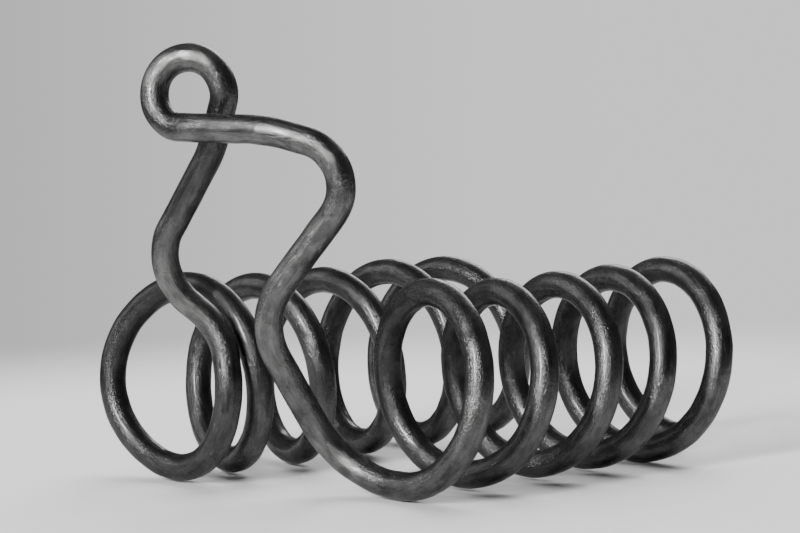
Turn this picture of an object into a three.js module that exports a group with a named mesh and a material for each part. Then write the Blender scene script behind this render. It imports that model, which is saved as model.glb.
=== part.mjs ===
// A spring bent from one length of round spring-steel wire.
// Two open coils of opposite hand lie side by side. An upright neck joins their front ends and
// carries a closed eye loop at its top left. The wire is built as named stretches: each turn of a
// coil can move against the next one, and the bends and straights of the neck follow in order.
// Lengths are millimetres. X runs across the two coils, +Y along the coils away from the neck,
// Z up. The coils' axes lie at z = 0 until the whole part is set down at the end.
import * as THREE from "three";

// Wire
const WIRE_DIAMETER = 6;
const WIRE_SIDES = 12; // facets round the wire
const STEPS_PER_TURN = 24; // rings along each turn of a coil
const MOVING_GAP = 0.5; // between two stretches that move against each other
const FIXED_GAP = 0.3; // between two stretches of the same rigid piece

// Coils: both are about 39 across the middle of the wire, which is 6.5 wire diameters
const AXIS_SPACING = 59;
const TURNS = 5;
const LEFT = {
  side: -1,
  radius: 19.5,
  firstTurn: -0.035, // where the coil takes over from the neck, in turns
  lastTurn: 5.25,
  quarter: 0, // angle at turn 0: on the inner side, facing the other coil
  opening: { at: 0.75, by: 1.8, width: 0.3 }, // the first turn is wound larger at its top
  lean: 0.02, // slope of each turn against the upright
  yaw: -0.04, // slope of each turn against the cross direction
  rise: 0.07, // how much higher each turn's middle is than the one before
  swing: { at: 0.5, by: 8, width: 0.2 }, // the outer side of the first turn stands forward
  // how much larger than its radius the coil is, one value each turn from a turn before the start
  growth: [0, 0, -0.8, 0.2, -0.5, 1, -0.8, 0],
  // where the wire lies along the axis, one station each half turn from half a turn before the start
  stations: [-48, -52, -49.5, -44, -33, -26.5, -15, -5.5, 4.5, 14, 19, 35.5, 38, 43],
};
const RIGHT = {
  side: 1,
  radius: 19.2,
  firstTurn: 0.002,
  lastTurn: 4.97,
  quarter: -0.25, // angle at turn 0: at the bottom
  opening: { at: 0.5, by: 1.2, width: 0.3 },
  lean: 0.055,
  yaw: 0.02,
  rise: 0.1,
  swing: { at: 0.5, by: 0, width: 0.2 },
  growth: [0, 0.2, -0.4, -0.1, 0, 0.5, 1.6, -6.5],
  stations: [-35, -37, -28.5, -17.5, -10, 1, 8.5, 16.5, 25, 33.5, 42, 49, 66],
};

// Eye loop
const EYE_CENTRE = new THREE.Vector3(-3.2, -64.4, 63.3);
const EYE_RADIUS = 7.2;
const EYE_PITCH = 7.5; // rise of the loop along its own axis for a full turn
const EYE_TURNED = 26.5; // degrees the loop's plane is turned about the upright
const EYE_TIPPED = -2; // degrees the loop's axis points down at the front
const EYE_FROM = -23; // degrees round the loop, counted from its right side
const EYE_TO = 268;

// Neck: the corners of its centre line and the bend radius at each of them
const LEFT_FOOT_RISE = 8; // straight on from the coil's start to the first corner
const LEFT_FOOT_BEND = 16;
const LEFT_KNEE = new THREE.Vector3(-22.3, -62.9, 25.5);
const LEFT_KNEE_BEND = 13;
const LEFT_STEM_DROP = 10.5; // from the start of the eye loop back down to the slight bend below it
const LEFT_STEM_BEND = 34;
const BAR_REACH = 22; // from the end of the eye loop on to the corner in the top bar
const BAR_BEND = 27;
const SHOULDER = new THREE.Vector3(37.9, -48.1, 48.7);
const SHOULDER_BEND = 9.5;
const WAIST = new THREE.Vector3(11.4, -59.3, 16);
const WAIST_BEND = 17.5;
const RIGHT_FOOT_RUN = 18; // from the foot corner straight on to the right coil's start
const RIGHT_FOOT_BEND = 16.5;

// The facets keep the cross-section's area, so their corners stand just outside the round wire.
const corner = (2 * Math.PI) / WIRE_SIDES;
const RING_RADIUS = (WIRE_DIAMETER / 2) * Math.sqrt(corner / Math.sin(corner));

const bell = (t, { at, by, width }) => by * Math.exp(-(((t - at) / width) ** 2));

// Uniform cubic B-spline: the value at x spans of the list, counted from its second entry.
function spline(values, x) {
  const i = THREE.MathUtils.clamp(Math.floor(x), 0, values.length - 4);
  const f = x - i;
  const weights = [
    (1 - f) ** 3 / 6,
    (3 * f ** 3 - 6 * f ** 2 + 4) / 6,
    (-3 * f ** 3 + 3 * f ** 2 + 3 * f + 1) / 6,
    f ** 3 / 6,
  ];
  return weights.reduce((sum, w, j) => sum + w * values[i + j], 0);
}

// The two coils are wound opposite ways, so the angle runs backwards in the left one.
const coilAngle = (coil, t) => 2 * Math.PI * (coil.side * t + coil.quarter);

function coilPoint(coil, t) {
  const angle = coilAngle(coil, t);
  const loose = bell(t, coil.opening);
  const radius = coil.radius + loose;
  const growth = spline(coil.growth, t);
  const across = radius * Math.cos(angle);
  const up = radius * Math.sin(angle);
  const along = spline(coil.stations, 2 * t) + coil.lean * up + coil.yaw * across;
  return new THREE.Vector3(
    (coil.side * AXIS_SPACING) / 2 + across + growth * Math.cos(angle),
    along - bell(t, coil.swing),
    up + growth * Math.sin(angle) + coil.rise * (t - TURNS / 2),
  );
}

// Unit direction of a path at f, for any function from a number to a point.
function direction(path, f) {
  const step = 1e-4;
  return path(f + step).sub(path(f - step)).normalize();
}

// A sample of the wire: its centre, its direction, and the normal of the plane its ring is cut on.
function coilSample(coil, t, cut) {
  const angle = coilAngle(coil, t);
  const path = (s) => coilPoint(coil, s);
  const along = direction(path, t);
  const round = new THREE.Vector3(-Math.sin(angle), 0, Math.cos(angle));
  return {
    centre: coilPoint(coil, t),
    along,
    // cut on the plane through the coil's axis, so that a slide along the axis keeps the gap
    plane: cut ? round : along,
    outward: new THREE.Vector3(Math.cos(angle), 0, Math.sin(angle)),
  };
}

// Rings of wire vertices at the samples, turned as little as possible from one to the next.
function rings(samples, side) {
  const across = side.clone();
  return samples.map(({ centre, along, plane, outward }) => {
    if (outward) across.copy(outward);
    across.addScaledVector(along, -across.dot(along)).normalize();
    const over = new THREE.Vector3().crossVectors(along, across);
    return Array.from({ length: WIRE_SIDES }, (_, k) => {
      const turn = (2 * Math.PI * k) / WIRE_SIDES;
      const offset = new THREE.Vector3()
        .addScaledVector(across, RING_RADIUS * Math.cos(turn))
        .addScaledVector(over, RING_RADIUS * Math.sin(turn));
      offset.addScaledVector(along, -offset.dot(plane) / along.dot(plane));
      return offset.add(centre);
    });
  });
}

// One closed body from the rings: a skin round the wire and a flat fan on each end.
function wireGeometry(ringList) {
  const n = WIRE_SIDES;
  const positions = ringList.flat().flatMap((p) => [p.x, p.y, p.z]);
  const index = [];
  for (let i = 0; i + 1 < ringList.length; i += 1) {
    for (let k = 0; k < n; k += 1) {
      const a = i * n + k;
      const b = i * n + ((k + 1) % n);
      index.push(a, b, b + n, a, b + n, a + n);
    }
  }
  const last = (ringList.length - 1) * n;
  for (let k = 1; k + 1 < n; k += 1) {
    index.push(0, k + 1, k);
    index.push(last, last + k, last + k + 1);
  }
  const geometry = new THREE.BufferGeometry();
  geometry.setAttribute("position", new THREE.Float32BufferAttribute(positions, 3));
  geometry.setIndex(index);
  geometry.computeVertexNormals();
  return geometry;
}

const part = new THREE.Group();
part.name = "twin_coil_spring";

// Every stretch has its own material: dark blued steel, a little lighter towards the eye.
function addStretch(name, samples, shade) {
  const side = samples[0].outward ?? samples[0].side;
  const material = new THREE.MeshStandardMaterial({
    color: new THREE.Color(shade, shade, shade * 1.03),
    roughness: 0.42,
    metalness: 0.9,
  });
  const mesh = new THREE.Mesh(wireGeometry(rings(samples, side)), material);
  mesh.name = name;
  part.add(mesh);
}

// ---- Coils -------------------------------------------------------------------------------

const turnsForLength = (coil, length) => length / (2 * Math.PI * coil.radius);

function addTurn(name, coil, from, to, shade) {
  const steps = Math.max(6, Math.round((to - from) * STEPS_PER_TURN));
  const samples = [];
  for (let i = 0; i <= steps; i += 1) {
    const t = THREE.MathUtils.lerp(from, to, i / steps);
    samples.push(coilSample(coil, t, i === 0 || i === steps));
  }
  addStretch(name, samples, shade);
}

for (const coil of [LEFT, RIGHT]) {
  const name = coil.side < 0 ? "left" : "right";
  const half = turnsForLength(coil, MOVING_GAP / 2);
  for (let turn = 1; turn <= TURNS; turn += 1) {
    const from = turn === 1 ? coil.firstTurn : turn - 1;
    const to = Math.min(turn - half, coil.lastTurn);
    addTurn(`${name}_coil_turn_${turn}`, coil, from + half, to, 0.1 + 0.004 * turn);
  }
  if (coil.lastTurn > TURNS) {
    const from = TURNS - half + turnsForLength(coil, FIXED_GAP);
    addTurn(`${name}_wire_end`, coil, from, coil.lastTurn, 0.12);
  }
}

// ---- Neck --------------------------------------------------------------------------------

const line = (from, to) => ({
  length: from.distanceTo(to),
  steps: 2,
  at: (f) => from.clone().lerp(to, f),
});

// A round bend of the given radius at a corner between two straights.
function bend(before, at, after, radius) {
  const back = before.clone().sub(at).normalize();
  const on = after.clone().sub(at).normalize();
  const half = back.angleTo(on) / 2;
  const setback = radius / Math.tan(half);
  const start = at.clone().addScaledVector(back, setback);
  const end = at.clone().addScaledVector(on, setback);
  const inward = back.clone().add(on).normalize();
  const centre = at.clone().addScaledVector(inward, radius / Math.sin(half));
  const sweep = Math.PI - 2 * half;
  const u = start.clone().sub(centre);
  const w = back.clone().multiplyScalar(-radius);
  return {
    start,
    end,
    length: radius * sweep,
    steps: Math.max(4, Math.ceil(THREE.MathUtils.radToDeg(sweep) / 11)),
    at: (f) =>
      centre
        .clone()
        .addScaledVector(u, Math.cos(f * sweep))
        .addScaledVector(w, Math.sin(f * sweep)),
  };
}

const turned = THREE.MathUtils.degToRad(EYE_TURNED);
const tipped = THREE.MathUtils.degToRad(EYE_TIPPED);
const eyeRight = new THREE.Vector3(Math.cos(turned), Math.sin(turned), 0);
const eyeFront = new THREE.Vector3(
  Math.sin(turned) * Math.cos(tipped),
  -Math.cos(turned) * Math.cos(tipped),
  Math.sin(tipped),
);
const eyeUp = new THREE.Vector3().crossVectors(eyeFront, eyeRight);
const eyeSweep = THREE.MathUtils.degToRad(EYE_TO - EYE_FROM);
const eye = {
  length: EYE_RADIUS * eyeSweep,
  steps: 24,
  at: (f) => {
    const angle = THREE.MathUtils.degToRad(EYE_FROM) + f * eyeSweep;
    const rise = (EYE_PITCH * (f - 0.5) * eyeSweep) / (2 * Math.PI);
    return EYE_CENTRE.clone()
      .addScaledVector(eyeRight, EYE_RADIUS * Math.cos(angle))
      .addScaledVector(eyeUp, EYE_RADIUS * Math.sin(angle))
      .addScaledVector(eyeFront, rise);
  },
};

const leftPath = (t) => coilPoint(LEFT, t);
const rightPath = (t) => coilPoint(RIGHT, t);
const leftStart = leftPath(LEFT.firstTurn);
const rightStart = rightPath(RIGHT.firstTurn);
const eyeStart = eye.at(0);
const eyeEnd = eye.at(1);
const leftFootCorner = leftStart
  .clone()
  .addScaledVector(direction(leftPath, LEFT.firstTurn), -LEFT_FOOT_RISE);
const leftStemCorner = eyeStart.clone().addScaledVector(direction(eye.at, 0), -LEFT_STEM_DROP);
const barCorner = eyeEnd.clone().addScaledVector(direction(eye.at, 1), BAR_REACH);
const rightFootCorner = rightStart
  .clone()
  .addScaledVector(direction(rightPath, RIGHT.firstTurn), -RIGHT_FOOT_RUN);

const leftFoot = bend(leftStart, leftFootCorner, LEFT_KNEE, LEFT_FOOT_BEND);
const leftKnee = bend(leftFootCorner, LEFT_KNEE, leftStemCorner, LEFT_KNEE_BEND);
const leftStem = bend(LEFT_KNEE, leftStemCorner, eyeStart, LEFT_STEM_BEND);
const barBend = bend(eyeEnd, barCorner, SHOULDER, BAR_BEND);
const shoulder = bend(barCorner, SHOULDER, WAIST, SHOULDER_BEND);
const waist = bend(SHOULDER, WAIST, rightFootCorner, WAIST_BEND);
const rightFoot = bend(WAIST, rightFootCorner, rightStart, RIGHT_FOOT_BEND);

const neck = [
  ["left_foot_bend", [line(leftStart, leftFoot.start), leftFoot]],
  ["left_knee_bend", [line(leftFoot.end, leftKnee.start), leftKnee]],
  ["left_stem", [line(leftKnee.end, leftStem.start), leftStem, line(leftStem.end, eyeStart)]],
  ["eye_loop", [eye]],
  ["top_bar", [line(eyeEnd, barBend.start), barBend, line(barBend.end, shoulder.start)]],
  ["shoulder_bend", [shoulder]],
  ["right_stem", [line(shoulder.end, waist.start)]],
  ["waist_bend", [waist]],
  ["right_shank", [line(waist.end, rightFoot.start)]],
  ["right_foot_bend", [rightFoot, line(rightFoot.end, rightStart)]],
];

// Samples along one stretch of the neck, pulled back from both ends by half a gap.
function neckSamples(paths, gapBefore, gapAfter) {
  const samples = [];
  paths.forEach((path, p) => {
    const low = p === 0 ? gapBefore / path.length : 0;
    const high = p === paths.length - 1 ? 1 - gapAfter / path.length : 1;
    for (let i = p === 0 ? 0 : 1; i <= path.steps; i += 1) {
      const f = THREE.MathUtils.lerp(low, high, i / path.steps);
      const along = direction(path.at, f);
      samples.push({ centre: path.at(f), along, plane: along });
    }
  });
  return samples;
}

let side = coilSample(LEFT, LEFT.firstTurn, false).outward;
neck.forEach(([name, paths], i) => {
  const first = i === 0;
  const last = i === neck.length - 1;
  const samples = neckSamples(
    paths,
    (first ? MOVING_GAP : FIXED_GAP) / 2,
    (last ? MOVING_GAP : FIXED_GAP) / 2,
  );
  // the two ends that meet a coil are cut on the same plane as the coil's own end
  if (first) samples[0].plane = coilSample(LEFT, LEFT.firstTurn, true).plane;
  if (last) samples[samples.length - 1].plane = coilSample(RIGHT, RIGHT.firstTurn, true).plane;
  samples[0].side = side;
  addStretch(name, samples, name === "eye_loop" ? 0.14 : 0.12);
  for (const { along } of samples) {
    side = side.clone().addScaledVector(along, -side.dot(along)).normalize();
  }
});

// ---- Set down ----------------------------------------------------------------------------

// The origin is under the middle of the part, at the height it rests on.
const box = new THREE.Box3().setFromObject(part, true);
const middle = box.getCenter(new THREE.Vector3());
part.position.set(-middle.x, -middle.y, -box.min.z);

export default part;
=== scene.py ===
"""A spring bent from one length of round spring-steel wire: two open coils side by side, joined
by an upright neck with an eye loop. The wire is one smooth tube, cut into pieces where the model
moves. Lengths are in millimetres until the wire is made; Blender's own units are metres."""

import math

import bpy
import numpy as np
from mathutils import Matrix


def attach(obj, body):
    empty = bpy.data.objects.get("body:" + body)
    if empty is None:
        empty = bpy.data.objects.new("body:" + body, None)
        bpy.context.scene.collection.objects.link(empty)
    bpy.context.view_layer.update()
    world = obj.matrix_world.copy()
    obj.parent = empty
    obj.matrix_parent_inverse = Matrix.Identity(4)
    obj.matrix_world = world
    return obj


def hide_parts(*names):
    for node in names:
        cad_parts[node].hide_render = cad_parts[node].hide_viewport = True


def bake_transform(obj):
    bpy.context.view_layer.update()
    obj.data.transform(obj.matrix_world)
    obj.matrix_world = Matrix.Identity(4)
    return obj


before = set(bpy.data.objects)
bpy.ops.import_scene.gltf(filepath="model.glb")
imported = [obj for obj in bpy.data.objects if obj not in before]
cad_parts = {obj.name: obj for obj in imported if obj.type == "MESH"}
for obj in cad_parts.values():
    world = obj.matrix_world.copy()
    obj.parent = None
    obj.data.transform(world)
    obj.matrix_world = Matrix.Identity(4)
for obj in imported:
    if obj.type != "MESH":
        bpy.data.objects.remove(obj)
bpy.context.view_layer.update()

# ---- Sizes of the wire form --------------------------------------------------------------------

MM = 0.001
SHIFT = np.array([0.021, 9.936, 22.771])  # from the coils' own frame to the row's

WIRE_RADIUS = 3.0
WIRE_SIDES = 48
RINGS_PER_TURN = 160
FEWEST_RINGS = 8
RING_STEP = 0.8

# A coil turns about a line along Y, and places on it are counted in turns from the neck. "first"
# and "last" are its two ends, and "quarter" is the part of a turn by which its circle is offset.
# "stations" is where it is along Y at each half turn, "growth" is added to its radius, and "lean",
# "yaw" and "rise" tilt it. "opening" and "swing" are bells of (place, height, width): a wider and
# a more forward first turn.
AXIS_SPACING = 59.0
TURNS = 5
LEFT = {
    "side": -1,
    "radius": 19.5,
    "first": -0.035,
    "last": 5.25,
    "quarter": 0.0,
    "opening": (0.75, 1.8, 0.3),
    "lean": 0.02,
    "yaw": -0.04,
    "rise": 0.07,
    "swing": (0.5, 8.0, 0.2),
    "growth": [0, 0, -0.8, 0.2, -0.5, 1, -0.8, 0],
    "stations": [-48, -52, -49.5, -44, -33, -26.5, -15, -5.5, 4.5, 14, 19, 35.5, 38, 43],
}
RIGHT = {
    "side": 1,
    "radius": 19.2,
    "first": 0.002,
    "last": 4.97,
    "quarter": -0.25,
    "opening": (0.5, 1.2, 0.3),
    "lean": 0.055,
    "yaw": 0.02,
    "rise": 0.1,
    "swing": (0.5, 0.0, 0.2),
    "growth": [0, 0.2, -0.4, -0.1, 0, 0.5, 1.6, -6.5],
    "stations": [-35, -37, -28.5, -17.5, -10, 1, 8.5, 16.5, 25, 33.5, 42, 49, 66],
}
COILS = {"left": LEFT, "right": RIGHT}

EYE_CENTRE = np.array([-3.2, -64.4, 63.3])
EYE_RADIUS = 7.2
EYE_PITCH = 7.5
EYE_TURNED = 26.5
EYE_TIPPED = -2.0
EYE_FROM = -23.0
EYE_TO = 268.0

LEFT_FOOT_RISE = 8.0
LEFT_FOOT_BEND = 16.0
LEFT_KNEE = np.array([-22.3, -62.9, 25.5])
LEFT_KNEE_BEND = 13.0
LEFT_STEM_DROP = 10.5
LEFT_STEM_BEND = 34.0
BAR_REACH = 22.0
BAR_BEND = 27.0
SHOULDER = np.array([37.9, -48.1, 48.7])
SHOULDER_BEND = 9.5
WAIST = np.array([11.4, -59.3, 16.0])
WAIST_BEND = 17.5
RIGHT_FOOT_RUN = 18.0
RIGHT_FOOT_BEND = 16.5

# ---- How the wire's surface differs from a plain tube ------------------------------------------

SEED = 11
WAVES = 30
WAVE_LENGTH = (5, 26)
WAVE_ORDERS = 4  # 0 swells the wire, 1 shifts it sideways, 2 and 3 put it out of round
WAVE_DEPTH = (0.004, 0.011)
DENTS = 90
DENT_LEAST = (0.04, 0.6, 0.5)  # depth, reach along the wire, reach round it
DENT_MOST = (0.13, 1.5, 0.9)
DENT_CLEAR_OF_ENDS = 3
BROKEN_EDGE = 0.4

# how far handling has worn the scale off: most on the neck's front, least inside the coils. Partly
# painted shade and highlight: the values also darken or brighten a piece to dim or raise its
# highlights
WEAR_AND_SHADE = {
    "left_foot_bend": 0.75,
    "left_knee_bend": 0.9,
    "left_stem": 0.25,
    "eye_loop": 0.85,
    "top_bar": 0.85,
    "shoulder_bend": 0.9,
    "right_stem": 0.75,
    "waist_bend": 0.75,
    "right_shank": 0.85,
    "right_foot_bend": 1.0,
    "left_turn_1_lead": 0.25,
    "left_turn_1_trail": 0.12,
    "right_turn_1_lead": 0.5,
}
WEAR_AND_SHADE_ON_COILS = 0.38
WEAR_AND_SHADE_FADE = 24  # rings on each side of a change
# painted shade: how much darker and rougher the inside of the coils is made
SHADE_INSIDE_COILS = 0.75

# ---- Floor, room, lights and camera, in metres and degrees -------------------------------------

FLOOR_RINGS = [0.1, 0.16, 0.2, 0.24, 0.28, 0.32, 0.36, 0.42]
FLOOR_SIDES = 96
FLOOR_GREY = (0.62, 0.62, 0.62, 1)
FLOOR_FADE = (0.17, 0.36)

# painted shade on the background the camera sees: darker on the left, lighter on the right
WALL_LEFT, WALL_RIGHT = 0.56, 0.92
WALL_CHANGE = (-0.25, 0.1)
ROOM_BACK, ROOM_FRONT, ROOM_TOP = 0.22, 0.01, 0.09
ROOM_CHANGE = (-0.6, 0.45)
TOP_CHANGE = (0.1, 0.9)

AIM = (0, 0, 0.04)
# name, degrees to the right of the camera, degrees up, distance, width, height, watts, glossy
LIGHTS = [
    ("window", -37, 23, 1.1, 0.10, 0.46, 24, True),
    ("soft_top", 150, 62, 1.2, 1.0, 1.0, 20, False),
    ("soft_back", 165, 28, 1.3, 0.7, 0.5, 9, True),
    ("fill_left", -100, 25, 1.2, 0.5, 0.9, 4, True),
]

CAMERA_AZIMUTH, CAMERA_ELEVATION, CAMERA_ROLL = 50.8, 3.836, -1.708
CAMERA_BACK, CAMERA_RIGHT, CAMERA_UP = 528.5, -9.4, 22.7  # mm from the coils' own origin
CAMERA_LENS = 105
CAMERA_SENSOR = 36


# ---- Curves ------------------------------------------------------------------------------------


def unit(v):
    return v / np.linalg.norm(v)


def bell(t, shape):
    at, by, width = shape
    return by * np.exp(-(((t - at) / width) ** 2))


def spline(values, x):
    """Uniform cubic B-spline: the value at x spans of the list, counted from its second entry."""
    values = np.array(values, float)
    i = np.clip(np.floor(x).astype(int), 0, len(values) - 4)
    f = x - i
    weights = (
        (1 - f) ** 3 / 6,
        (3 * f**3 - 6 * f**2 + 4) / 6,
        (-3 * f**3 + 3 * f**2 + 3 * f + 1) / 6,
        f**3 / 6,
    )
    return sum(w * values[i + j] for j, w in enumerate(weights))


def coil_points(coil, t):
    t = np.asarray(t, float)
    angle = 2 * math.pi * (coil["side"] * t + coil["quarter"])
    radius = coil["radius"] + bell(t, coil["opening"])
    growth = spline(coil["growth"], t)
    across, up = radius * np.cos(angle), radius * np.sin(angle)
    along = spline(coil["stations"], 2 * t) + coil["lean"] * up + coil["yaw"] * across
    x = coil["side"] * AXIS_SPACING / 2 + across + growth * np.cos(angle)
    z = up + growth * np.sin(angle) + coil["rise"] * (t - TURNS / 2)
    return np.stack([x, along - bell(t, coil["swing"]), z], -1)


def coil_stretch(coil, start, stop):
    """Centre points of the wire between two places on a coil."""
    count = max(FEWEST_RINGS, round(abs(stop - start) * RINGS_PER_TURN))
    return coil_points(coil, np.linspace(start, stop, count + 1))


def coil_direction(coil, t):
    step = 1e-4
    return unit(coil_points(coil, t + step) - coil_points(coil, t - step))


def eye_points(f):
    f = np.asarray(f, float)
    turned, tipped = math.radians(EYE_TURNED), math.radians(EYE_TIPPED)
    right = np.array([math.cos(turned), math.sin(turned), 0])
    front = np.array(
        [
            math.sin(turned) * math.cos(tipped),
            -math.cos(turned) * math.cos(tipped),
            math.sin(tipped),
        ]
    )
    up = np.cross(front, right)
    sweep = math.radians(EYE_TO - EYE_FROM)
    angle = math.radians(EYE_FROM) + f * sweep
    rise = EYE_PITCH * (f - 0.5) * sweep / (2 * math.pi)
    ring = np.multiply.outer(np.cos(angle), right) + np.multiply.outer(np.sin(angle), up)
    return EYE_CENTRE + EYE_RADIUS * ring + np.multiply.outer(rise, front)


def line(start, end):
    return {
        "length": np.linalg.norm(end - start),
        "at": lambda f: start + np.multiply.outer(f, end - start),
    }


def bend(before, corner, after, radius):
    """A round bend at a corner between two straights."""
    back, on = unit(before - corner), unit(after - corner)
    half = math.acos(float(np.clip(back @ on, -1, 1))) / 2
    setback = radius / math.tan(half)
    start, end = corner + back * setback, corner + on * setback
    centre = corner + unit(back + on) * radius / math.sin(half)
    sweep = math.pi - 2 * half
    u, w = start - centre, -back * radius
    return {
        "length": radius * sweep,
        "start": start,
        "end": end,
        "at": lambda f: centre
        + np.multiply.outer(np.cos(np.asarray(f) * sweep), u)
        + np.multiply.outer(np.sin(np.asarray(f) * sweep), w),
    }


def neck_paths():
    """The neck's pieces in order, from the left coil to the right, each a list of paths."""
    eye = {
        "length": EYE_RADIUS * math.radians(EYE_TO - EYE_FROM),
        "at": eye_points,
    }
    step = 1e-4
    left_start = coil_points(LEFT, LEFT["first"])
    right_start = coil_points(RIGHT, RIGHT["first"])
    eye_start, eye_end = eye_points(0.0), eye_points(1.0)
    eye_in = unit(eye_points(step) - eye_points(-step))
    eye_out = unit(eye_points(1 + step) - eye_points(1 - step))
    foot_corner = left_start - coil_direction(LEFT, LEFT["first"]) * LEFT_FOOT_RISE
    stem_corner = eye_start - eye_in * LEFT_STEM_DROP
    bar_corner = eye_end + eye_out * BAR_REACH
    right_corner = right_start - coil_direction(RIGHT, RIGHT["first"]) * RIGHT_FOOT_RUN
    foot = bend(left_start, foot_corner, LEFT_KNEE, LEFT_FOOT_BEND)
    knee = bend(foot_corner, LEFT_KNEE, stem_corner, LEFT_KNEE_BEND)
    stem = bend(LEFT_KNEE, stem_corner, eye_start, LEFT_STEM_BEND)
    bar = bend(eye_end, bar_corner, SHOULDER, BAR_BEND)
    shoulder = bend(bar_corner, SHOULDER, WAIST, SHOULDER_BEND)
    waist = bend(SHOULDER, WAIST, right_corner, WAIST_BEND)
    right_foot = bend(WAIST, right_corner, right_start, RIGHT_FOOT_BEND)
    return [
        ("left_foot_bend", [line(left_start, foot["start"]), foot]),
        ("left_knee_bend", [line(foot["end"], knee["start"]), knee]),
        ("left_stem", [line(knee["end"], stem["start"]), stem, line(stem["end"], eye_start)]),
        ("eye_loop", [eye]),
        ("top_bar", [line(eye_end, bar["start"]), bar, line(bar["end"], shoulder["start"])]),
        ("shoulder_bend", [shoulder]),
        ("right_stem", [line(shoulder["end"], waist["start"])]),
        ("waist_bend", [waist]),
        ("right_shank", [line(waist["end"], right_foot["start"])]),
        ("right_foot_bend", [right_foot, line(right_foot["end"], right_start)]),
    ]


# ---- The whole wire, from the left coil's cut end to the right coil's --------------------------


def half_turns(word):
    """A coil's turns in two halves each, in the order of its own winding: (name, from, to)."""
    coil = COILS[word]
    stretches = []
    edges = [coil["first"]] + [k / 2 for k in range(1, 2 * TURNS)]
    edges.append(min(TURNS, coil["last"]))
    for k, (low, high) in enumerate(zip(edges, edges[1:])):
        name = f"{word}_turn_{k // 2 + 1}_{'lead' if k % 2 == 0 else 'trail'}"
        stretches.append((name, low, high))
    if coil["last"] > TURNS:
        stretches.append((f"{word}_wire_end", TURNS, coil["last"]))
    return stretches


def whole_wire():
    """Centre points of the wire, and the pieces it is cut into as (name, first ring, last ring)."""
    centres, cuts = [], []

    def add(name, stretch):
        if centres:
            stretch = stretch[1:]
        first = max(len(centres) - 1, 0)
        centres.extend(stretch)
        cuts.append((name, first, len(centres) - 1))

    for name, low, high in reversed(half_turns("left")):
        add(name, coil_stretch(LEFT, high, low))
    for name, paths in neck_paths():
        points = []
        for path in paths:
            count = max(2, round(path["length"] / RING_STEP))
            stretch = path["at"](np.linspace(0, 1, count + 1))
            points.extend(stretch if not points else stretch[1:])
        add(name, np.array(points))
    for name, low, high in half_turns("right"):
        add(name, coil_stretch(RIGHT, low, high))
    return np.array(centres), cuts


centres, cuts = whole_wire()
steps = np.linalg.norm(np.diff(centres, axis=0), axis=1)
run = np.concatenate([[0], np.cumsum(steps)])  # length along the wire
tangents = np.gradient(centres, run, axis=0)
tangents /= np.linalg.norm(tangents, axis=1)[:, None]
sides = np.zeros_like(centres)
sides[0] = unit(np.cross(tangents[0], [0, 1, 0]))
for i in range(1, len(centres)):
    # turned as little as possible from one ring to the next
    s = sides[i - 1] - tangents[i] * (sides[i - 1] @ tangents[i])
    sides[i] = unit(s)
overs = np.cross(tangents, sides)
round_angle = np.linspace(0, 2 * math.pi, WIRE_SIDES, endpoint=False)
cosine, sine = np.cos(round_angle), np.sin(round_angle)
radial = sides[:, None, :] * cosine[None, :, None] + overs[:, None, :] * sine[None, :, None]

chance = np.random.default_rng(SEED)
radius = np.full(radial.shape[:2], WIRE_RADIUS)
for _ in range(WAVES):
    # drawn wire is never quite round or straight-sided: waves about a hundredth of a mm deep
    length, order = chance.uniform(*WAVE_LENGTH), chance.integers(0, WAVE_ORDERS)
    phase, depth = chance.uniform(0, 2 * math.pi), chance.uniform(*WAVE_DEPTH)
    radius += depth * np.cos(
        2 * math.pi * run[:, None] / length + order * round_angle[None, :] + phase
    )
for _ in range(DENTS):
    # dents and tool marks, each a shallow hollow about 2 mm across
    at = chance.uniform(DENT_CLEAR_OF_ENDS, run[-1] - DENT_CLEAR_OF_ENDS)
    side_at = chance.uniform(0, 2 * math.pi)
    depth, along_by, round_by = chance.uniform(DENT_LEAST, DENT_MOST)
    near = np.abs(run - at) < 4 * along_by
    turn = np.abs((round_angle - side_at + math.pi) % (2 * math.pi) - math.pi) * WIRE_RADIUS
    hollow = np.exp(-(((run[near, None] - at) / along_by) ** 2) - (turn[None, :] / round_by) ** 2)
    radius[near] -= depth * hollow
radius[[0, -1]] -= BROKEN_EDGE  # round the two cut ends
surface = centres[:, None, :] + radial * radius[:, :, None]
along_wire = np.gradient(surface, axis=0)
round_wire = np.roll(surface, -1, axis=1) - np.roll(surface, 1, axis=1)
normals = np.cross(round_wire, along_wire)
normals /= np.linalg.norm(normals, axis=2)[:, :, None]
if (normals * radial).sum() < 0:
    normals = -normals

wear_and_shade = np.zeros(len(centres))
inward = np.zeros_like(centres)  # on the coils, towards the coil's axis
for name, first, last in cuts:
    wear_and_shade[first : last + 1] = WEAR_AND_SHADE.get(name, WEAR_AND_SHADE_ON_COILS)
    if "_turn_" in name or name.endswith("wire_end"):
        side = COILS[name.split("_")[0]]["side"]
        toward = np.array([side * AXIS_SPACING / 2, 0, 0]) - centres[first : last + 1]
        toward[:, 1] = 0
        inward[first : last + 1] = toward / np.linalg.norm(toward, axis=1)[:, None]
padded = np.pad(wear_and_shade, WEAR_AND_SHADE_FADE, mode="edge")
wear_and_shade = np.convolve(padded, np.hanning(2 * WEAR_AND_SHADE_FADE + 1) / WEAR_AND_SHADE_FADE, "valid")
# painted shade: the faces of the coils that look inward get up to three quarters less wear, so they
# come out darker and rougher
facing_in = np.clip((radial * inward[:, None, :]).sum(2), 0, 1)
wear_and_shade = wear_and_shade[:, None] * (1 - SHADE_INSIDE_COILS * facing_in)

# straightened wire: where each vertex would be on a straight length of the same wire
straight = np.zeros(surface.shape)
straight[:, :, 0] = WIRE_RADIUS * cosine[None, :]
straight[:, :, 1] = WIRE_RADIUS * sine[None, :]
straight[:, :, 2] = run[:, None]


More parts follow.
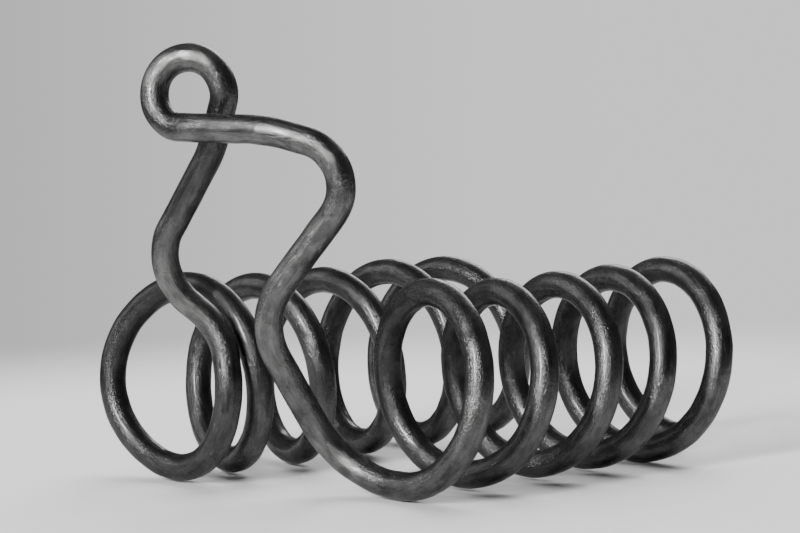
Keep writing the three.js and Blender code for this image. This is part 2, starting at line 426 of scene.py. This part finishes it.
def make_piece(name, first, last, material):
    """The wire between two rings, as a closed tube with the whole wire's normals."""
    n = WIRE_SIDES
    rows = last - first + 1
    points = (surface[first : last + 1].reshape(-1, 3) + SHIFT) * MM
    faces, loop_normals = [], []
    flat = normals[first : last + 1].reshape(-1, 3)
    for i in range(rows - 1):
        for k in range(n):
            a, b = i * n + k, i * n + (k + 1) % n
            quad = (a, b, b + n, a + n)
            faces.append(quad)
            loop_normals.extend(flat[j] for j in quad)
    faces.append(tuple(reversed(range(n))))
    loop_normals.extend([-tangents[first]] * n)
    faces.append(tuple((rows - 1) * n + k for k in range(n)))
    loop_normals.extend([tangents[last]] * n)
    mesh = bpy.data.meshes.new(name)
    mesh.from_pydata(points.tolist(), [], faces)
    mesh.shade_smooth()
    mesh.normals_split_custom_set([tuple(v) for v in loop_normals])
    place = mesh.attributes.new("straight_wire", "FLOAT_VECTOR", "POINT")
    place.data.foreach_set("vector", straight[first : last + 1].reshape(-1).astype(np.float32))
    wear = mesh.attributes.new("wear_and_shade", "FLOAT", "POINT")
    wear.data.foreach_set("value", wear_and_shade[first : last + 1].reshape(-1).astype(np.float32))
    mesh.materials.append(material)
    piece = bpy.data.objects.new(name, mesh)
    bpy.context.scene.collection.objects.link(piece)
    return piece


# ---- Material ----------------------------------------------------------------------------------


def node(tree, kind, **values):
    """A node with its properties set by name, and its sockets by name with _ for a space."""
    made = tree.nodes.new(kind)
    for key, value in values.items():
        if hasattr(made, key):
            setattr(made, key, value)
        else:
            made.inputs[key.replace("_", " ")].default_value = value
    return made


def stretched(tree, place, scale, shift=(0, 0, 0)):
    """The straightened wire's coordinates, scaled, so that a texture can run along the wire."""
    made = node(tree, "ShaderNodeMapping", Scale=scale, Location=shift)
    tree.links.new(place, made.inputs["Vector"])
    return made.outputs["Vector"]


def noise(tree, place, scale, detail, rough, distortion=0.0):
    made = node(
        tree,
        "ShaderNodeTexNoise",
        Scale=scale,
        Detail=detail,
        Roughness=rough,
        Distortion=distortion,
    )
    tree.links.new(place, made.inputs["Vector"])
    return made.outputs["Fac"]


def ramp(tree, value, stops):
    """Grey levels against the value, as (position, level) pairs."""
    made = tree.nodes.new("ShaderNodeValToRGB")
    elements = made.color_ramp.elements
    while len(elements) < len(stops):
        elements.new(0.5)
    for element, (position, level) in zip(elements, stops):
        element.position = position
        element.color = (level, level, level, 1)
    tree.links.new(value, made.inputs["Fac"])
    return made.outputs["Color"]


def maths(tree, operation, a, b):
    made = tree.nodes.new("ShaderNodeMath")
    made.operation = operation
    for socket, value in zip(made.inputs, (a, b)):
        if isinstance(value, (int, float)):
            socket.default_value = value
        else:
            tree.links.new(value, socket)
    return made.outputs["Value"]


def weighted(tree, *pairs):
    """The sum of some values, each times its weight."""
    total = None
    for value, weight in pairs:
        term = maths(tree, "MULTIPLY", value, weight)
        total = term if total is None else maths(tree, "ADD", total, term)
    return total


def smooth_step(tree, value, from_range, to_range):
    made = node(tree, "ShaderNodeMapRange", interpolation_type="SMOOTHSTEP")
    keys = ("From Min", "From Max", "To Min", "To Max")
    for key, number in zip(keys, (*from_range, *to_range)):
        made.inputs[key].default_value = number
    tree.links.new(value, made.inputs["Value"])
    return made.outputs["Result"]


def steel():
    """Drawn spring steel under a thin dark scale: lengthwise streaks, mottled patches of scale, a
    fine pitted grain, and a few nicks worn bright. Texture scales are per millimetre."""
    material = bpy.data.materials.new("blued_spring_steel")
    material.use_nodes = True
    tree = material.node_tree
    link = tree.links.new
    shader = tree.nodes["Principled BSDF"]
    place = node(tree, "ShaderNodeAttribute", attribute_name="straight_wire").outputs["Vector"]

    streaks = noise(tree, stretched(tree, place, (1.0, 1.0, 0.05)), 1.5, 6, 0.6)
    fine = noise(tree, stretched(tree, place, (1.0, 1.0, 0.12), (7, 3, 0)), 4.5, 4, 0.6)
    patches = noise(tree, stretched(tree, place, (1.0, 1.0, 0.55), (20, 0, 4)), 0.42, 9, 0.7, 0.4)
    wear = noise(tree, stretched(tree, place, (0.6, 0.6, 0.35), (0, 30, 9)), 0.16, 3, 0.5)
    grain = noise(tree, place, 2.2, 5, 0.6)
    wear_and_shade_level = node(tree, "ShaderNodeAttribute", attribute_name="wear_and_shade").outputs["Fac"]

    scale_mask = ramp(tree, patches, [(0.40, 0.0), (0.51, 0.5), (0.62, 1.0)])
    streak_level = ramp(tree, streaks, [(0.30, 0.0), (0.70, 1.0)])
    fine_level = ramp(tree, fine, [(0.35, 0.0), (0.75, 1.0)])
    wear_level = ramp(tree, wear, [(0.38, 0.0), (0.62, 1.0)])

    pits = node(tree, "ShaderNodeTexVoronoi", Scale=0.34)
    link(stretched(tree, place, (1.0, 1.0, 0.55), (3, 9, 2)), pits.inputs["Vector"])
    nick = ramp(tree, pits.outputs["Distance"], [(0.05, 1.0), (0.11, 0.0)])

    # bare metal shows where the scale is thin or worn off: brighter, smoother. The wear value also
    # carries painted shade: darker inside the coils, and darker or brighter per piece to set its
    # highlights
    thin = weighted(
        tree, (scale_mask, 0.40), (streak_level, 0.28), (wear_level, 0.22), (nick, 0.5)
    )
    shown = maths(tree, "ADD", maths(tree, "MULTIPLY", wear_and_shade_level, 1.15), 0.25)
    colour = tree.nodes.new("ShaderNodeMix")
    colour.data_type = "RGBA"
    colour.inputs["A"].default_value = (0.016, 0.016, 0.0165, 1)
    colour.inputs["B"].default_value = (0.18, 0.18, 0.178, 1)
    colour.clamp_factor = True
    link(maths(tree, "MULTIPLY", thin, shown), colour.inputs["Factor"])
    link(colour.outputs["Result"], shader.inputs["Base Color"])

    smoother = weighted(
        tree, (scale_mask, -0.06), (wear_level, -0.08), (fine_level, 0.10), (wear_and_shade_level, -0.12)
    )
    link(maths(tree, "ADD", smoother, 0.36), shader.inputs["Roughness"])
    shader.inputs["Metallic"].default_value = 0.94
    shader.inputs["Specular IOR Level"].default_value = 0.5
    shader.inputs["Specular Tint"].default_value = (0.45, 0.45, 0.45, 1)
    shader.inputs["Coat Weight"].default_value = 0.22
    shader.inputs["Coat Roughness"].default_value = 0.14
    shader.inputs["Coat IOR"].default_value = 1.5

    height = weighted(
        tree, (streaks, 0.45), (grain, 0.9), (fine, 0.25), (patches, 0.4), (nick, -0.25)
    )
    bump = node(tree, "ShaderNodeBump", Strength=1.0, Distance=0.00018)
    link(height, bump.inputs["Height"])
    link(bump.outputs["Normal"], shader.inputs["Normal"])
    return material


# ---- Pieces on their bodies --------------------------------------------------------------------


def in_row(point):
    return tuple((np.asarray(point, float) + SHIFT) * MM)


wire_material = steel()
for name, first, last in cuts:
    piece = make_piece(name, first, last, wire_material)
    word = name.split("_")[0]
    if "_turn_" in name:
        turn = int(name.split("_")[2])
        coil = COILS[word]
        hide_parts(f"{word}_coil_turn_{turn}")
        body = f"{word}_turn_{turn}"
        if name.endswith("lead"):
            # the first half of a turn is left on no body, with its place baked into its mesh; the
            # points a and b are worked out but not used
            a, b = coil_points(coil, turn - 1.0), coil_points(coil, turn - 0.5)
            if word == "left":
                b[1:] = a[1:]
            else:
                b[:2] = a[:2]
            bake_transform(piece)
        else:
            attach(piece, body)
    elif name == "left_wire_end":
        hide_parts("left_wire_end")
        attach(piece, "left_turn_5")
    else:
        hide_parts(name)
        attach(piece, "neck")

# ---- Floor -------------------------------------------------------------------------------------


def floor():
    """A pale round floor whose edge fades into the background."""
    points, faces = [(0, 0, 0)], []
    for r in FLOOR_RINGS:
        for k in range(FLOOR_SIDES):
            turn = 2 * math.pi * k / FLOOR_SIDES
            points.append((r * math.cos(turn), r * math.sin(turn), 0))
    for k in range(FLOOR_SIDES):
        faces.append((0, 1 + k, 1 + (k + 1) % FLOOR_SIDES))
    for i in range(len(FLOOR_RINGS) - 1):
        for k in range(FLOOR_SIDES):
            a, b = 1 + i * FLOOR_SIDES + k, 1 + i * FLOOR_SIDES + (k + 1) % FLOOR_SIDES
            faces.append((a, a + FLOOR_SIDES, b + FLOOR_SIDES, b))
    mesh = bpy.data.meshes.new("floor")
    mesh.from_pydata(points, [], faces)
    made = bpy.data.objects.new("floor", mesh)
    bpy.context.scene.collection.objects.link(made)
    material = bpy.data.materials.new("pale_floor")
    material.use_nodes = True
    tree = material.node_tree
    shader = tree.nodes["Principled BSDF"]
    shader.inputs["Base Color"].default_value = FLOOR_GREY
    shader.inputs["Roughness"].default_value = 0.95
    shader.inputs["Specular IOR Level"].default_value = 0.1
    geometry = tree.nodes.new("ShaderNodeNewGeometry")
    length = node(tree, "ShaderNodeVectorMath", operation="LENGTH")
    tree.links.new(geometry.outputs["Position"], length.inputs[0])
    fade = smooth_step(tree, length.outputs["Value"], FLOOR_FADE, (1.0, 0.0))
    tree.links.new(fade, shader.inputs["Alpha"])
    mesh.materials.append(material)


floor()

# ---- Camera, room and lights -------------------------------------------------------------------


def standing(right, up, back, place):
    """The matrix of a camera or a light that looks along -back."""
    rows = zip(np.stack([right, up, back], 1).tolist(), np.asarray(place).tolist())
    return Matrix([[*row, p] for row, p in rows] + [[0, 0, 0, 1]])


def studio(toward_camera, toward_right):
    """A pale background, painted darker on the left and lighter on the right as painted shade, and
    for the light that reaches the wire a room that is dim where the camera stands and pale behind
    the object and overhead."""
    world = bpy.data.worlds.new("studio")
    bpy.context.scene.world = world
    world.use_nodes = True
    tree = world.node_tree
    link = tree.links.new
    seen = tree.nodes["Background"]
    out = tree.nodes["World Output"]
    where = tree.nodes.new("ShaderNodeTexCoord").outputs["Generated"]

    def facing(direction):
        made = node(tree, "ShaderNodeVectorMath", operation="DOT_PRODUCT")
        link(where, made.inputs[0])
        made.inputs[1].default_value = direction
        return made.outputs["Value"]

    # painted shade: the background is darker on the left and lighter on the right
    wall = smooth_step(tree, facing(toward_right), WALL_CHANGE, (WALL_LEFT, WALL_RIGHT))
    link(wall, seen.inputs["Color"])
    room = smooth_step(tree, facing(toward_camera), ROOM_CHANGE, (ROOM_BACK, ROOM_FRONT))
    overhead = smooth_step(tree, facing((0, 0, 1)), TOP_CHANGE, (0.0, ROOM_TOP))
    felt = tree.nodes.new("ShaderNodeBackground")
    link(maths(tree, "ADD", room, overhead), felt.inputs["Color"])
    mix = tree.nodes.new("ShaderNodeMixShader")
    link(tree.nodes.new("ShaderNodeLightPath").outputs["Is Camera Ray"], mix.inputs["Fac"])
    link(felt.outputs["Background"], mix.inputs[1])
    link(seen.outputs["Background"], mix.inputs[2])
    link(mix.outputs["Shader"], out.inputs["Surface"])


def area_light(name, turn, rise, distance, width, height, power, glossy):
    """A lamp aimed at the object, placed by its direction from the camera's."""
    data = bpy.data.lights.new(name, "AREA")
    data.shape = "RECTANGLE"
    data.size, data.size_y, data.energy = width, height, power
    made = bpy.data.objects.new(name, data)
    bpy.context.scene.collection.objects.link(made)
    angle, lift = azimuth + math.radians(turn), math.radians(rise)
    level_out = np.array([math.sin(angle), -math.cos(angle), 0]) * math.cos(lift)
    target = np.array(AIM, float)
    place = (level_out + np.array([0, 0, math.sin(lift)])) * distance + target
    away = unit(place - target)
    side = unit(np.cross([0, 0, 1], away))
    made.matrix_world = standing(side, np.cross(away, side), away, place)
    made.visible_glossy = glossy


azimuth, elevation, roll = (
    math.radians(v) for v in (CAMERA_AZIMUTH, CAMERA_ELEVATION, CAMERA_ROLL)
)
back = np.array(
    [
        math.sin(azimuth) * math.cos(elevation),
        -math.cos(azimuth) * math.cos(elevation),
        math.sin(elevation),
    ]
)
level = np.array([math.cos(azimuth), math.sin(azimuth), 0])
upright = np.cross(back, level)
right = math.cos(roll) * level + math.sin(roll) * upright
up = -math.sin(roll) * level + math.cos(roll) * upright
lens = bpy.data.cameras.new("camera")
lens.sensor_width = CAMERA_SENSOR
lens.lens = CAMERA_LENS
lens.clip_start = 0.01
camera = bpy.data.objects.new("camera", lens)
bpy.context.scene.collection.objects.link(camera)
camera.matrix_world = standing(
    right, up, back, in_row(CAMERA_BACK * back + CAMERA_RIGHT * right + CAMERA_UP * up)
)
bpy.context.scene.camera = camera

studio(tuple(back), tuple(right))
for light in LIGHTS:
    area_light(*light)
